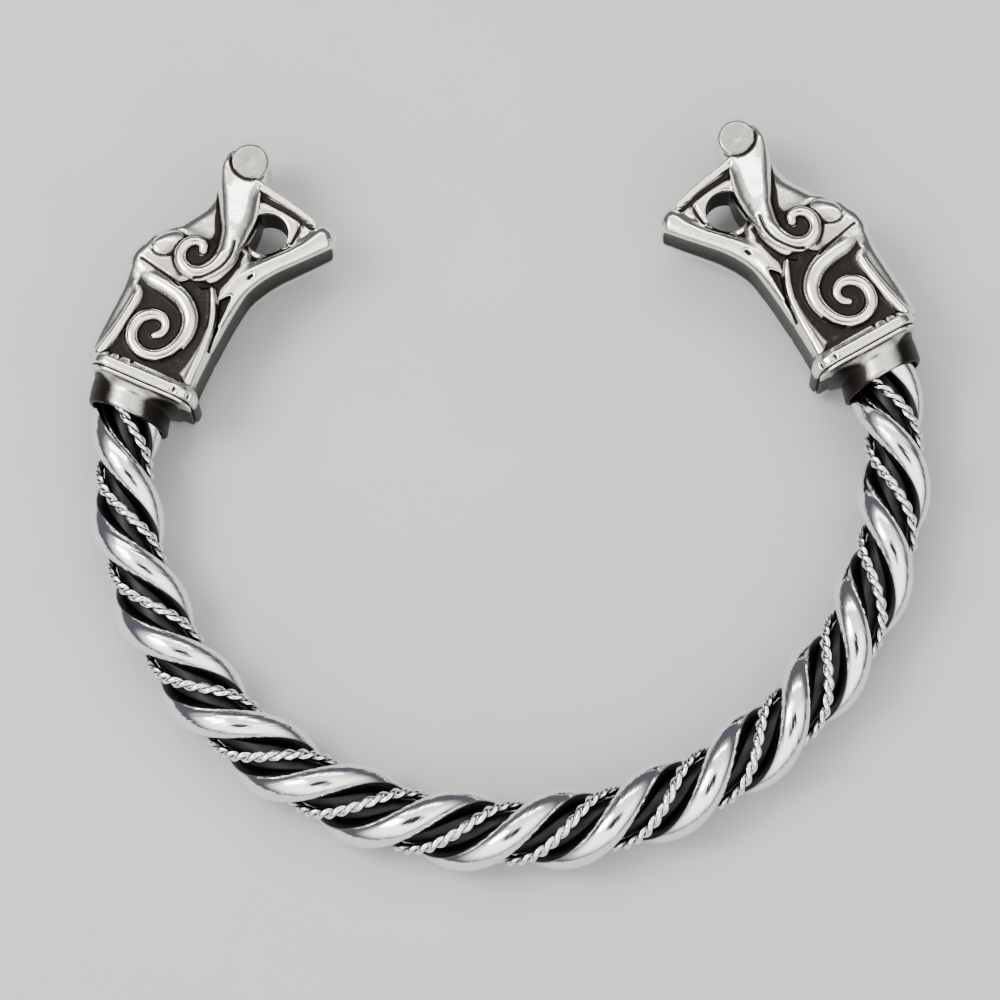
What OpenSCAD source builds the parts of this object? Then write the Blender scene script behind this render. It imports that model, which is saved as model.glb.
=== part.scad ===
// Open arm ring of twisted metal with two beast heads.
// Two thick rods and two fine wires wind round a core from one head to the other.
// The ring lies on its side: X runs across the wrist, Y towards the gap between
// the heads, Z up. The origin is the middle of the wrist opening.

/* [Wrist opening] */
// Width of the opening across the wrist
wrist_w = 64.3; // [58:0.1:72]
// Depth of the opening if its oval were closed
wrist_d = 62.1; // [56:0.1:70]
// Angle from the widest line up to each collar, seen from the middle
collar_a = 15.7; // [10:0.1:20]

/* [Twisted body] */
// Radius of a thick rod at the middle of the body
rod_r = 1.4; // [1.2:0.05:1.55]
// Radius of the circle on which the thick rods wind
wind_r = 2.35; // [2.2:0.05:2.6]
// Radius of the core
core_r = 1.95; // [1.7:0.05:2.05]
// Radius of a fine wire
wire_r = 0.5; // [0.35:0.05:0.6]
// Length along the body of one whole turn of the twist
turn_l = 18.7; // [14:0.1:24]
// Share of its middle thickness that the body keeps at the heads
end_share = 0.895; // [0.8:0.005:1]
// Turn of the first rod at the middle of the body, from outwards towards up
twist_start = 103; // [0:1:179]
// Gap between pieces that lie against each other
seat_gap = 0.1; // [0.09:0.01:0.14]

/* [Collar and cup] */
// Width of the collar in the plane of the ring
collar_w = 10.8; // [10:0.1:12]
// Height of the collar as the ring lies
collar_h = 10.4; // [9.8:0.1:11.5]
// Thickness of the collar
collar_t = 1.2; // [0.9:0.1:1.6]
// Distance that the collar sits inside the line of the body
collar_in = 1.3; // [0.8:0.1:1.6]
// Angle by which the head leans in from the line of the body
head_lean = 10.5; // [8:0.5:14]
// Length of the cup under the collar
cup_l = 2.4; // [2.2:0.1:3.4]
// Wall of the cup at its mouth
cup_wall = 0.45; // [0.4:0.05:0.6]
// Depth that the body reaches into the cup
socket_d = 1.5; // [1.3:0.1:1.8]

/* [Head] */
// Length of the head from the collar to the middle of the nose roll
head_l = 22.9; // [21:0.1:25]
// Thickness of the head from cheek to cheek
head_t = 8.8; // [8.2:0.1:9.4]
// Radius of the nose roll
nose_r = 1.9; // [1.6:0.05:2.1]
// Length of the nose roll
nose_w = 5.6; // [4.8:0.1:6.4]
// Radius of the round hole through the mouth
mouth_r = 2; // [1.6:0.05:2.1]
// Thickness of the web in the mouth
web_t = 5; // [4.2:0.1:5.6]

/* [Hidden] */

// Half axes of the oval line along the middle of the body
body_r = wind_r + rod_r;
mid_a = wrist_w / 2 + body_r;
mid_b = wrist_d / 2 + body_r;

// The body is swept through flat sections, each at an angle t round the oval.
// t grows from the left head through the middle of the body, at 270, to the right head.
collar_t0 = 180 - collar_a;
turn_deg = 360 * turn_l / (PI * (mid_a + mid_b));
collar_c = [mid_a * cos(collar_t0) + collar_in, mid_b * sin(collar_t0)];
collar_dir = atan2(-mid_b * cos(collar_t0), mid_a * sin(collar_t0)) - head_lean;
arm_deg = 360 / (PI * (mid_a + mid_b));
mouth_t = collar_t0 + (collar_t + cup_l) * arm_deg;
start_t = mouth_t - socket_d * arm_deg;
end_t = 540 - start_t;
steps = 72;
rod_sides = 12;
wire_sides = 6;

// A rod lies slantwise in a flat section, so its outline there is wider than high
rod_slant = cos(atan(2 * PI * wind_r / turn_l));
wire_reach = core_r + seat_gap + wire_r;
wire_slant = cos(atan(2 * PI * wire_reach / turn_l));

// Angle of rest: the collars and the far side of the body touch the surface
rest_tilt = asin((collar_h / 2 - body_r) / (mid_b + collar_c[1] - collar_t - collar_w / 8));

// Rows of the head hold shares of head_l for along, out and radius,
// and shares of half of head_t for high.

// Skull and neck: [along, back, front, high]
SKULL = [
    [-0.02, 0.262, -0.190, 0.90],
    [0.07, 0.269, -0.192, 0.85],
    [0.19, 0.267, -0.195, 0.83],
    [0.30, 0.263, -0.200, 0.83],
    [0.37, 0.271, -0.203, 0.84],
    [0.40, 0.276, -0.205, 0.90],
    [0.43, 0.282, -0.206, 0.91],
    [0.48, 0.275, -0.200, 0.90],
    [0.55, 0.238, -0.185, 0.87],
    [0.61, 0.192, -0.185, 0.79],
    [0.645, 0.168, -0.165, 0.73],
    [0.68, 0.146, -0.100, 0.68],
    [0.76, 0.106, -0.090, 0.57],
    [0.83, 0.094, -0.080, 0.46],
    [0.90, 0.078, -0.060, 0.36]];

// Upper lip, from the nose roll down to the middle of its curl: [along, out, radius, high]
LIP = [
    [1.045, 0.008, 0.060, 0.10],
    [0.985, 0.012, 0.092, 0.10],
    [0.910, -0.006, 0.098, 0.10],
    [0.830, -0.040, 0.091, 0.26],
    [0.760, -0.064, 0.082, 0.42],
    [0.700, -0.078, 0.066, 0.58],
    [0.640, -0.084, 0.054, 0.70],
    [0.585, -0.086, 0.046, 0.78],
    [0.530, -0.073, 0.041, 0.82],
    [0.487, -0.046, 0.038, 0.84],
    [0.464, -0.008, 0.035, 0.86],
    [0.463, 0.032, 0.031, 0.88],
    [0.486, 0.068, 0.027, 0.90],
    [0.524, 0.085, 0.025, 0.91],
    [0.563, 0.076, 0.023, 0.92],
    [0.588, 0.047, 0.021, 0.92],
    [0.587, 0.015, 0.020, 0.92],
    [0.562, 0.003, 0.018, 0.92]];

// Band from the crown round the neck to the middle of its spiral: [along, out, radius, high]
BAND = [
    [0.400, 0.215, 0.042, 0.62],
    [0.380, 0.150, 0.044, 0.73],
    [0.366, 0.070, 0.042, 0.81],
    [0.343, -0.004, 0.040, 0.84],
    [0.295, -0.060, 0.038, 0.84],
    [0.237, -0.081, 0.035, 0.84],
    [0.178, -0.076, 0.032, 0.84],
    [0.118, -0.049, 0.029, 0.84],
    [0.080, -0.002, 0.027, 0.84],
    [0.072, 0.056, 0.027, 0.84],
    [0.098, 0.106, 0.027, 0.84],
    [0.148, 0.129, 0.028, 0.84],
    [0.201, 0.120, 0.027, 0.84],
    [0.235, 0.084, 0.025, 0.85],
    [0.240, 0.040, 0.022, 0.86],
    [0.214, 0.010, 0.019, 0.86],
    [0.178, 0.012, 0.017, 0.86],
    [0.157, 0.036, 0.014, 0.86]];

// Ridge along the back of the neck, and ridge along its front: [along, out, radius, high]
BACK_RIDGE = [
    [0.330, 0.205, 0.020, 0.70],
    [0.290, 0.172, 0.022, 0.72],
    [0.200, 0.176, 0.022, 0.72],
    [0.100, 0.190, 0.022, 0.74],
    [0.000, 0.210, 0.022, 0.76]];
FRONT_RIDGE = [
    [0.432, -0.098, 0.015, 0.78],
    [0.385, -0.122, 0.016, 0.75],
    [0.335, -0.144, 0.016, 0.74],
    [0.270, -0.161, 0.016, 0.74],
    [0.180, -0.168, 0.018, 0.74],
    [0.090, -0.168, 0.022, 0.75],
    [0.000, -0.172, 0.028, 0.76]];

// Lower jaw from the collar to its tip: [along, out, half thickness, half width by half of head_t]
JAW = [
    [-0.010, -0.158, 0.040, 0.80],
    [0.100, -0.152, 0.041, 0.78],
    [0.220, -0.154, 0.043, 0.76],
    [0.360, -0.160, 0.047, 0.74],
    [0.480, -0.174, 0.055, 0.72],
    [0.560, -0.206, 0.054, 0.72],
    [0.635, -0.262, 0.045, 0.71],
    [0.700, -0.318, 0.042, 0.69],
    [0.765, -0.366, 0.048, 0.66],
    [0.825, -0.400, 0.058, 0.64],
    [0.862, -0.420, 0.053, 0.60],
    [0.884, -0.432, 0.034, 0.50]];

// Web across the mouth: [along, out]. Its free edge is from row 4 on.
WEB = [
    [0.520, -0.060],
    [0.560, -0.190],
    [0.700, -0.318],
    [0.800, -0.380],
    [0.866, -0.395],
    [0.872, -0.345],
    [0.902, -0.231],
    [0.921, -0.114],
    [0.940, 0.000]];
EDGE_ROW = 4;
MOUTH = [0.750, -0.190];

// Eye: middle, half length and half breadth, turn in the plane of the head
EYE = [0.543, 0.150];
EYE_SIZE = [0.070, 0.050];
EYE_TURN = -40;

// Outline of a section through the skull: [share from front to back, share of the height]
SKULL_RIM = [
    [1.00, 0.00], [0.97, 0.55], [0.86, 0.90], [0.62, 1.00], [0.25, 1.00], [0.06, 0.90], [0.00, 0.66],
    [0.00, -0.66], [0.06, -0.90], [0.25, -1.00], [0.62, -1.00], [0.86, -0.90], [0.97, -0.55]];
// Outline of a section through the jaw: [share of the thickness, share of the width]
JAW_RIM = [
    [1.00, 0.00], [1.00, 0.62], [0.62, 0.92], [0.00, 1.00], [-0.70, 0.96], [-1.00, 0.80],
    [-0.92, 0.00], [-1.00, -0.80], [-0.70, -0.96], [0.00, -1.00], [0.62, -0.92], [1.00, -0.62]];

// Closed skin over loops of points that turn right-handed along the way from first to last.
// Its cross edges lean one way or the other.
module skin(loops, lean = 1) {
    n = len(loops[0]);
    last = len(loops) - 1;
    sides = [for (i = [0:last - 1], j = [0:n - 1])
        let (k = (j + 1) % n, a = i * n + j, b = i * n + k, c = a + n, d = b + n)
        each lean > 0 ? [[a, c, d], [a, d, b]] : [[a, c, b], [b, c, d]]];
    caps = [[for (j = [0:n - 1]) j], [for (j = [n - 1:-1:0]) last * n + j]];
    polyhedron([for (loop = loops) each loop], concat(sides, caps));
}

// Frame of the body at angle t: middle, way out, and share of thickness
function mid_at(t) = [mid_a * cos(t), mid_b * sin(t), 0];
function out_at(t) = let (v = [mid_b * cos(t), mid_a * sin(t), 0]) v / norm(v);
function share_at(t) = 1 - (1 - end_share) * pow((t - 270) / (end_t - 270), 2);
function phase_at(t) = twist_start + 360 * (t - 270) / turn_deg;

// One section outline, in flat coordinates, set on the body at angle t
function set_on(flat, t, turn) =
    let (a = phase_at(t) + turn, s = share_at(t), e = out_at(t), c = mid_at(t))
    [for (p = flat)
        let (x = s * (p[0] * cos(a) - p[1] * sin(a)), y = s * (p[0] * sin(a) + p[1] * cos(a)))
        c + x * e + [0, 0, y]];
function body_loops(flat, turn) =
    [for (i = [steps:-1:0]) set_on(flat, start_t + (end_t - start_t) * i / steps, turn)];

function oval(x, rx, ry, sides) =
    [for (i = [0:sides - 1]) [x + rx * cos(360 * i / sides), ry * sin(360 * i / sides)]];

// Half of the core's outline: a groove that holds one rod, then a free stretch
function groove(ax, ay) =
    let (p = ax * ax - ay * ay,
         q = 2 * wind_r * ax,
         r = wind_r * wind_r + ay * ay - core_r * core_r,
         edge = acos((q - sqrt(q * q - 4 * p * r)) / (2 * p)))
    [for (g = [-edge, -30, 0, 30, edge]) [wind_r - ax * cos(g), ay * sin(g)]];
function half_core() =
    let (cut = groove(rod_r + seat_gap, rod_r / rod_slant + seat_gap),
         from = atan2(cut[4][1], cut[4][0]),
         free = 180 - 2 * from)
    concat(cut, [for (i = [1:3]) core_r * [cos(from + free * i / 4), sin(from + free * i / 4)]]);
function core_outline() = concat(half_core(), [for (p = half_core()) -p]);

// The ring as it rests
module lay() {
    rotate([rest_tilt, 0, 0]) children();
}

module core() {
    color("#4a4a4e") lay() skin(body_loops(core_outline(), 0), -1);
}

module thick_rod(turn) {
    color("#d5d6d8") lay() skin(body_loops(oval(wind_r, rod_r, rod_r / rod_slant, rod_sides), turn));
}

module fine_wire(turn) {
    color("#b4b5b8") lay() skin(body_loops(oval(wire_reach, wire_r, wire_r / wire_slant, wire_sides), turn));
}

// A bar along rows of [along, out, radius, high], round or with a taller section
function high_at(share) = share * head_t / 2;
function row_point(r) = [r[0] * head_l, r[1] * head_l, high_at(r[3])];
function way_at(rows, i) =
    let (a = row_point(rows[max(i - 1, 0)]), b = row_point(rows[min(i + 1, len(rows) - 1)]), d = b - a)
    [d[0], d[1]] / norm([d[0], d[1]]);
function bar_loops(rows, sides, rise = 1) =
    [for (i = [0:len(rows) - 1])
        let (c = row_point(rows[i]), w = way_at(rows, i), r = rows[i][2] * head_l)
        [for (j = [0:sides - 1])
            let (g = 360 * j / sides)
            c + [-w[1] * r * cos(g), w[0] * r * cos(g), rise * r * sin(g)]]];

module skull() {
    loops = [for (r = SKULL)
        [for (p = SKULL_RIM) [r[0] * head_l, (r[2] + (r[1] - r[2]) * p[0]) * head_l, high_at(r[3]) * p[1]]]];
    skin(loops);
}

module jaw() {
    loops = [for (i = [0:len(JAW) - 1])
        let (r = JAW[i], w = way_at([for (q = JAW) [q[0], q[1], q[2], 0]], i))
        [for (p = JAW_RIM)
            [r[0] * head_l - w[1] * r[2] * head_l * p[0],
             r[1] * head_l + w[0] * r[2] * head_l * p[0],
             high_at(r[3]) * p[1]]]];
    skin(loops);
}

module web() {
    translate([0, 0, -web_t / 2]) linear_extrude(web_t) difference() {
        polygon([for (p = WEB) p * head_l]);
        translate(MOUTH * head_l) circle(mouth_r, $fn = 24);
    }
}

// Raised bar along the free edge of the web, on one cheek
module web_bar() {
    bar = 0.017 * head_l;
    for (i = [EDGE_ROW:len(WEB) - 2]) hull() for (p = [WEB[i], WEB[i + 1]])
        translate([p[0] * head_l, p[1] * head_l, web_t / 2 - bar / 2]) sphere(bar, $fn = 8);
}

module eye() {
    translate([EYE[0] * head_l, EYE[1] * head_l, high_at(0.84)]) rotate(EYE_TURN)
        scale([EYE_SIZE[0], EYE_SIZE[1], 0.036] * head_l) sphere(1, $fn = 12);
}

// Everything that is raised on one cheek
module cheek() {
    skin(bar_loops(LIP, 8));
    skin(bar_loops(BAND, 6));
    skin(bar_loops(BACK_RIDGE, 6, 2));
    skin(bar_loops(FRONT_RIDGE, 6, 2));
    web_bar();
    eye();
}

// Thin rounded plate across the head's axis at x, smaller than the collar all round by inset
module plate(x, inset) {
    corner = collar_h / 5;
    side_w = collar_w / 2 - inset - corner;
    side_h = collar_h / 2 - inset - corner;
    translate([x, 0, 0]) rotate([0, -90, 0]) hull() for (a = [-1, 1], b = [-1, 1])
        translate([a * side_h, b * side_w, 0]) cylinder(collar_t / 12, r = corner, $fn = 16);
}

module collar() {
    hull() {
        plate(0, 0.4 * collar_t);
        plate(-0.5 * collar_t, 0);
        plate(-0.9 * collar_t, 0.15 * collar_t);
    }
}

// Way of the body's line at angle t, towards the left head
function way_to_head(t) = atan2(-mid_b * cos(t), mid_a * sin(t));

// Disc on the body's line at angle t, seen from the head. Its axis points along dir.
module body_disc(t, dir, radius, thick) {
    c = mid_at(t);
    rotate(-collar_dir) translate([c[0] - collar_c[0], c[1] - collar_c[1], 0])
        rotate(dir) rotate([0, 90, 0]) cylinder(thick, r = radius, $fn = 28);
}

// Bell-shaped cup from the collar down to the body, with the socket for the body's end.
// Its mouth is level with the collar, while the body comes in at a slant.
module cup() {
    socket_r = body_r * share_at(start_t) + seat_gap;
    rim = cup_wall / 2;
    shoulder = collar_t + 0.35 * cup_l;
    outside_t = mouth_t + 0.6 * cup_l * arm_deg;
    difference() {
        union() {
            hull() {
                plate(-0.8 * collar_t, 0.6 * collar_t);
                plate(-shoulder, collar_t);
            }
            hull() {
                plate(-shoulder, collar_t);
                body_disc(mouth_t, collar_dir, socket_r + cup_wall, rim);
            }
        }
        hull() {
            body_disc(outside_t, way_to_head(outside_t), socket_r, rim);
            body_disc(start_t, way_to_head(start_t), socket_r, 3 * seat_gap);
        }
    }
}

// Head in its own frame: X along it from the collar, Y towards its back, Z from cheek to cheek
module head() {
    union() {
        skull();
        jaw();
        web();
        for (side = [0, 1]) mirror([0, 0, side]) cheek();
        translate([head_l, 0, -nose_w / 2]) cylinder(nose_w, r = nose_r, $fn = 20);
        collar();
        cup();
    }
}

module place_head() {
    translate([collar_c[0], collar_c[1], 0]) rotate(collar_dir) head();
}

module head_left() {
    color("#c9cacc") lay() place_head();
}

module head_right() {
    color("#c9cacc") lay() mirror([1, 0, 0]) place_head();
}

core();
thick_rod(0);  // thick_rod_a
thick_rod(180);  // thick_rod_b
fine_wire(90);  // fine_wire_a
fine_wire(270);  // fine_wire_b
head_left();
head_right();
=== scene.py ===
# %% [markdown]
# # An open arm ring of twisted steel with two beast heads
# The ring is cast and polished: two thick rods and two fine twisted wires wind round a
# blackened core, and each end is a beast's head with a collar and a cup under it.
# The CAD model gives the sizes. Every piece here is made again from the same sizes, with
# far more points, because polished metal shows each facet of a coarse mesh.
# The thin pieces are swept along the ring's line. The heads are carved in a field of
# distances, as one would carve wax for a casting, and then skinned.

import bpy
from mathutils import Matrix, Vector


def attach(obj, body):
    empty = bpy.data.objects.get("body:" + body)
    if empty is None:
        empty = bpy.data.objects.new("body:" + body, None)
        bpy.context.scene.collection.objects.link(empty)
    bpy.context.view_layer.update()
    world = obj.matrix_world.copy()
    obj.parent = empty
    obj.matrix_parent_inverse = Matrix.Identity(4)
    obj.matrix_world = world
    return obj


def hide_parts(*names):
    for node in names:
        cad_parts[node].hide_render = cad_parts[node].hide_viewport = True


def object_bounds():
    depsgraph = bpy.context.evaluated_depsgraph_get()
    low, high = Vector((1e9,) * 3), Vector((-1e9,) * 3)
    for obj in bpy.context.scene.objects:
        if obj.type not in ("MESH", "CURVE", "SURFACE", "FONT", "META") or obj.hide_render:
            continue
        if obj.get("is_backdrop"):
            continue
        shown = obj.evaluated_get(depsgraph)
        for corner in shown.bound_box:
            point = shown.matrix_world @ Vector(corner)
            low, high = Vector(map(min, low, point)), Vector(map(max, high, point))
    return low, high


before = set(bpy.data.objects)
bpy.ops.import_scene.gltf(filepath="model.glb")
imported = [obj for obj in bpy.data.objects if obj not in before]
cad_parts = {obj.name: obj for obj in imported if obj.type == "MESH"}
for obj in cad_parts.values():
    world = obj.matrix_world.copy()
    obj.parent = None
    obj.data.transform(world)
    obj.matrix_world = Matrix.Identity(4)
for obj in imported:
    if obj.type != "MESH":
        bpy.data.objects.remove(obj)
cad_low, cad_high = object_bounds()
print("nodes:", sorted(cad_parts))

# %% [markdown]
# ## The camera and the light come first
# The picture was taken with a long lens from nearly straight above the ring, a little from
# the side of its body. A camera far away with a narrow view keeps the same flat
# perspective. It is aimed by three directions: away from the ring, to its right and up.

# %% Place the camera
import math
import bpy
import numpy as np
from mathutils import Matrix, Vector

MM = 0.001
scene = bpy.context.scene

VIEW_LEAN = math.radians(15.99)
VIEW_ROLL = math.radians(-2.8)
VIEW_DISTANCE = 430 * MM
AIM_RIGHT = -0.81 * MM
AIM_UP = -3.37 * MM
SENSOR = 36.0
VIEW_WIDTH = 93.2 * MM
NEAR_CLIP = 10 * MM

back = Vector((0, -math.sin(VIEW_LEAN), math.cos(VIEW_LEAN)))
level_up = Vector((0, math.cos(VIEW_LEAN), math.sin(VIEW_LEAN)))
side = Vector((1, 0, 0))
right = side * math.cos(VIEW_ROLL) + level_up * math.sin(VIEW_ROLL)
up = level_up * math.cos(VIEW_ROLL) - side * math.sin(VIEW_ROLL)
eye = back * VIEW_DISTANCE + right * AIM_RIGHT + up * AIM_UP

lens = bpy.data.cameras.new("camera")
lens.sensor_width = SENSOR
lens.lens = SENSOR * VIEW_DISTANCE / VIEW_WIDTH
lens.clip_start = NEAR_CLIP
camera = bpy.data.objects.new("camera", lens)
camera.matrix_world = Matrix((
    (right.x, up.x, back.x, eye.x),
    (right.y, up.y, back.y, eye.y),
    (right.z, up.z, back.z, eye.z),
    (0, 0, 0, 1)))
scene.collection.objects.link(camera)
scene.camera = camera
print(f"camera {VIEW_DISTANCE * 1000:.0f} mm away, lens {lens.lens:.0f} mm")

# %% [markdown]
# Shader maths reads best as plain sums. This small class holds one output socket of a
# shader graph. Adding or multiplying it adds Math nodes, and `make` adds any other node.
# A Mix node keeps a set of sockets for each kind of value, so its two colours are inputs
# 6 and 7, and the mixed colour is output 2.

# %% A socket that can be used in sums
class Signal:
    def __init__(self, tree, socket):
        self.tree = tree
        self.socket = socket

    def make(self, kind, settings, sockets, out=0):
        """Adds a node: its settings first, then the values or links of its sockets."""
        node = self.tree.nodes.new(kind)
        for name, value in settings.items():
            setattr(node, name, value)
        for name, value in sockets.items():
            if isinstance(value, Signal):
                self.tree.links.new(value.socket, node.inputs[name])
            else:
                node.inputs[name].default_value = value
        return Signal(self.tree, node.outputs[out])

    def math(self, operation, first, second):
        return self.make("ShaderNodeMath", {"operation": operation}, {0: first, 1: second})

    def __add__(self, other):
        return self.math("ADD", self, other)

    def __radd__(self, other):
        return self.math("ADD", other, self)

    def __sub__(self, other):
        return self.math("SUBTRACT", self, other)

    def __rsub__(self, other):
        return self.math("SUBTRACT", other, self)

    def __mul__(self, other):
        return self.math("MULTIPLY", self, other)

    def __rmul__(self, other):
        return self.math("MULTIPLY", other, self)

    def along(self, way):
        """How far this vector reaches along a fixed direction."""
        return self.make("ShaderNodeVectorMath", {"operation": "DOT_PRODUCT"}, {0: self, 1: way},
                         out="Value")

    def ease(self, low, high):
        """0 below low, 1 above high, and a smooth step between them."""
        return self.make("ShaderNodeMapRange", {"interpolation_type": "SMOOTHSTEP"},
                         {"Value": self, "From Min": low, "From Max": high})

    def noise(self, scale, detail=2.0):
        """Soft noise over this place."""
        return self.make("ShaderNodeTexNoise", {},
                         {"Vector": self, "Scale": scale, "Detail": detail})

    def tint(self, dark, light):
        """One colour where this is 0, the other where it is 1. Each is fixed or a signal."""
        ends = [end if isinstance(end, Signal) else (*end, 1) for end in (dark, light)]
        return self.make("ShaderNodeMix", {"data_type": "RGBA"}, {0: self, 6: ends[0], 7: ends[1]},
                         out=2)


def start(name):
    """An empty material, with a signal for the place on the object, and its shader."""
    material = bpy.data.materials.new(name)
    material.use_nodes = True
    tree = material.node_tree
    place = tree.nodes.new("ShaderNodeTexCoord").outputs["Object"]
    shader = tree.nodes["Principled BSDF"]
    return material, Signal(tree, place), shader


def feed(shader, name, signal):
    """Links a signal to one socket of the shader."""
    signal.tree.links.new(signal.socket, shader.inputs[name])


print("signals can be added, subtracted and multiplied, from either side")

# %% [markdown]
# ## Floor and light
# The ring lies on a plain pale floor with a faint grain, a hair below the lowest metal.

# %% Lay the floor
FLOOR_GAP = 0.03 * MM
FLOOR_Z = cad_low.z - FLOOR_GAP
FLOOR_HALF = 2.0
FLOOR_PALE = (0.40, 0.40, 0.415)
FLOOR_GRAIN = (0.43, 0.43, 0.44)
FLOOR_SCALE = 90
FLOOR_ROUGH = 0.7

floor_mesh = bpy.data.meshes.new("floor")
corners = [(-FLOOR_HALF, -FLOOR_HALF, FLOOR_Z), (FLOOR_HALF, -FLOOR_HALF, FLOOR_Z),
           (FLOOR_HALF, FLOOR_HALF, FLOOR_Z), (-FLOOR_HALF, FLOOR_HALF, FLOOR_Z)]
floor_mesh.from_pydata(corners, [], [(0, 1, 2, 3)])
floor = bpy.data.objects.new("floor", floor_mesh)
scene.collection.objects.link(floor)
floor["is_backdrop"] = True

stone, place, shader = start("pale floor")
feed(shader, "Base Color", place.noise(FLOOR_SCALE).tint(FLOOR_PALE, FLOOR_GRAIN))
shader.inputs["Roughness"].default_value = FLOOR_ROUGH
floor_mesh.materials.append(stone)
print("floor at z =", round(FLOOR_Z * 1000, 2), "mm")

# %% [markdown]
# Polished steel shows what is round it more than its own colour. So the light is a tent of
# white cloth: brightest in a wide ring round the camera's side, with a small dark opening
# for the lens, and dim near the floor. The bright ring becomes the white streaks along
# each rod, and the opening becomes the dark spot in them. Cloth towards the top of the
# picture is dimmer. The tent stays where it is when the ring is looked at from another
# side. Its edges are cosines of the angle between a direction and that of the camera: 1
# is straight at it and 0 is square to it.

# %% Put up the tent of light
TENT_LOW = (0.13, 0.135, 0.16)
TENT_BRIGHT = (3.6, 3.55, 3.4)
TENT_EDGE = (0.22, 0.82)
OPENING = (0.935, 0.978)
FAR_SIDE = (0.15, 0.45)
FAR_SIDE_SHARE = 0.45
DARK_OPENING = (0.05, 0.05, 0.06)

room = bpy.data.worlds.new("room")
scene.world = room
room.use_nodes = True
tent = room.node_tree.nodes["Background"]
way = Signal(room.node_tree, room.node_tree.nodes.new("ShaderNodeTexCoord").outputs["Generated"])
near_camera = way.along(back)
dimmed = 1 - way.along(up).ease(*FAR_SIDE) * FAR_SIDE_SHARE
cloth = (near_camera.ease(*TENT_EDGE) * dimmed).tint(TENT_LOW, TENT_BRIGHT)
inside_opening = near_camera.ease(*OPENING)
feed(tent, "Color", inside_opening.tint(cloth, DARK_OPENING))
print(f"tent: full light within {math.degrees(math.acos(TENT_EDGE[1])):.0f} degrees of the camera")

# %% [markdown]
# Two soft lamps add what the tent can't: a round one near the camera lifts the metal round
# it, and a long one on the side of the heads draws a narrow streak down each rod.

# %% Hang two soft lamps
LAMP_COLOUR = (1.0, 0.98, 0.94)
ROUND_WAY = back - right * 0.75 + up * 0.35
LONG_WAY = Vector((0, 0.60, 0.80))


def soft_lamp(name, shape, way, away, width, height, shine):
    """A flat soft lamp some way off, turned to the ring. Shine is how bright its face is."""
    lamp = bpy.data.lights.new(name, "AREA")
    lamp.shape = shape
    lamp.size = width
    lamp.size_y = height
    lamp.energy = math.pi * width * height * shine
    lamp.color = LAMP_COLOUR
    holder = bpy.data.objects.new(name, lamp)
    holder.location = way.normalized() * away
    holder.rotation_euler = (-holder.location).to_track_quat("-Z", "Y").to_euler()
    scene.collection.objects.link(holder)


soft_lamp("round lamp", "ELLIPSE", ROUND_WAY, away=0.55, width=0.26, height=0.26, shine=12)
soft_lamp("long lamp", "RECTANGLE", LONG_WAY, away=0.60, width=0.60, height=0.09, shine=9)
print("lamps:", len(bpy.data.lights))

# %% [markdown]
# ## The ring's line
# Everything follows one flat oval. A place on it is an angle t, which grows from the left
# head through the middle of the body to the right head. These sizes repeat the CAD model's
# sizes, in millimetres, and each piece is laid down and made metres at the end.

# %% Sizes of the ring, in millimetres
WRIST_W = 64.3
WRIST_D = 62.1
COLLAR_A = 15.7
ROD_R = 1.4
WIND_R = 2.35
CORE_R = 1.95
WIRE_R = 0.5
TURN_L = 18.7
END_SHARE = 0.895
TWIST_START = 103
SEAT_GAP = 0.1
COLLAR_W = 10.8
COLLAR_H = 10.4
COLLAR_T = 1.2
COLLAR_IN = 1.3
HEAD_LEAN = 10.5
CUP_L = 2.4
CUP_WALL = 0.45
SOCKET_D = 1.5
HEAD_L = 22.9
HEAD_T = 8.8
NOSE_R = 1.9
NOSE_W = 5.6
MOUTH_R = 2.0
WEB_T = 5.0

FAR_ANGLE = 270
BODY_R = WIND_R + ROD_R
MID_A = WRIST_W / 2 + BODY_R
MID_B = WRIST_D / 2 + BODY_R
COLLAR_AT = math.radians(180 - COLLAR_A)
ARM_DEG = 360 / (math.pi * (MID_A + MID_B))
TURN_DEG = TURN_L * ARM_DEG
MOUTH_AT = math.degrees(COLLAR_AT) + (COLLAR_T + CUP_L) * ARM_DEG
START_AT = MOUTH_AT - SOCKET_D * ARM_DEG
END_AT = 2 * FAR_ANGLE - START_AT
COLLAR_X = MID_A * math.cos(COLLAR_AT) + COLLAR_IN
COLLAR_Y = MID_B * math.sin(COLLAR_AT)
BODY_DIR = math.atan2(-MID_B * math.cos(COLLAR_AT), MID_A * math.sin(COLLAR_AT))
COLLAR_DIR = BODY_DIR - math.radians(HEAD_LEAN)
REST_TILT = math.asin((COLLAR_H / 2 - BODY_R) / (MID_B + COLLAR_Y - COLLAR_T - COLLAR_W / 8))
print(f"body from {START_AT:.1f} to {END_AT:.1f} degrees, rest tilt {math.degrees(REST_TILT):.2f}")

# %% Frame of the body at any angle
def middle_at(t):
    """Points of the oval line at angles t, in degrees."""
    t = np.radians(t)
    return np.stack([MID_A * np.cos(t), MID_B * np.sin(t), np.zeros_like(t)], axis=-1)


def outward_at(t):
    """Directions away from the wrist at angles t."""
    t = np.radians(t)
    way = np.stack([MID_B * np.cos(t), MID_A * np.sin(t), np.zeros_like(t)], axis=-1)
    return way / np.linalg.norm(way, axis=-1, keepdims=True)


def share_at(t):
    """The body thins a little towards the heads."""
    return 1 - (1 - END_SHARE) * ((t - FAR_ANGLE) / (END_AT - FAR_ANGLE)) ** 2


def phase_at(t):
    """How far the twist has turned at angles t, in radians."""
    return np.radians(TWIST_START + 360 * (t - FAR_ANGLE) / TURN_DEG)


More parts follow.
